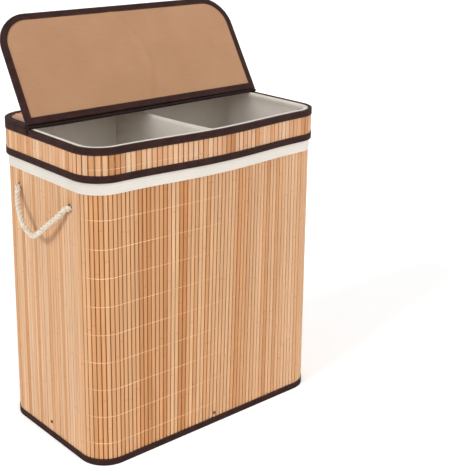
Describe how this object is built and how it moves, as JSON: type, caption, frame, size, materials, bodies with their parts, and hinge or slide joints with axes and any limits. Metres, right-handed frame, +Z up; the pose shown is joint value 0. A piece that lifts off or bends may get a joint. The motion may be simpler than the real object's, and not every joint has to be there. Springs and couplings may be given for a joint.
{
  "type": "laundry hamper with two bins",
  "caption": "Rectangular slatted laundry hamper with a cloth liner divided into two bins, rope handles at the ends and a lift-off rim cap whose lid is hinged near the rear.",
  "frame": {"origin": "on the floor under the middle of the body", "axes": "+Z up, -Y towards the front, where the lid opens; +X to the right seen from the front"},
  "size_m": [0.5884, 0.3408, 0.763],
  "materials": {
    "bamboo": "split bamboo slats, clear satin",
    "dark_binding": "dark brown woven tape",
    "liner_cloth": "off-white plain cloth",
    "lining_cloth": "tan cloth glued to board",
    "board": "raw board and battens",
    "rope": "three-strand twisted cotton",
    "tack_steel": "bronzed steel tack heads"
  },
  "bodies": {
    "hamper": {"wall_slats": "bamboo", "rim_hoop": "board", "bottom_binding": "dark_binding", "batten_front": "board", "batten_rear": "board", "batten_left": "board", "batten_right": "board", "tack_front": "tack_steel", "tack_rear": "tack_steel", "tack_left": "tack_steel", "tack_right": "tack_steel", "base_board": "board", "liner_bag": "liner_cloth", "liner_divider": "liner_cloth", "rope_knot_left_front": "rope", "rope_knot_left_rear": "rope", "rope_knot_right_front": "rope", "rope_knot_right_rear": "rope"},
    "cap": {"collar_board": "board", "collar_slats": "bamboo", "collar_top_binding": "dark_binding", "collar_bottom_binding": "dark_binding", "rear_panel_binding": "dark_binding", "rear_panel_lining": "lining_cloth", "rear_panel_board": "board", "rear_panel_slats": "bamboo"},
    "lid": {"lid_binding": "dark_binding", "lid_lining": "lining_cloth", "lid_board": "board", "lid_slats": "bamboo", "hinge_roll": "dark_binding"},
    "handle_left": {"rope_handle_left": "rope"},
    "handle_right": {"rope_handle_right": "rope"}
  },
  "joints": [
    {"name": "cap_lift", "type": "slide", "parent": "hamper", "child": "cap", "axis": [0, 0, 1], "range_m": [0, 0.12]},
    {"name": "lid_hinge", "type": "hinge", "parent": "cap", "child": "lid", "pos_m": [0, 0.038, 0.5805], "axis": [1, 0, 0], "range_deg": [0, 121]},
    {"name": "handle_left_swing", "type": "hinge", "parent": "hamper", "child": "handle_left", "pos_m": [-0.2681, 0, 0.463], "axis": [0, 1, 0], "range_deg": [0, 150]},
    {"name": "handle_right_swing", "type": "hinge", "parent": "hamper", "child": "handle_right", "pos_m": [0.2681, 0, 0.463], "axis": [0, -1, 0], "range_deg": [0, 150]}
  ]
}
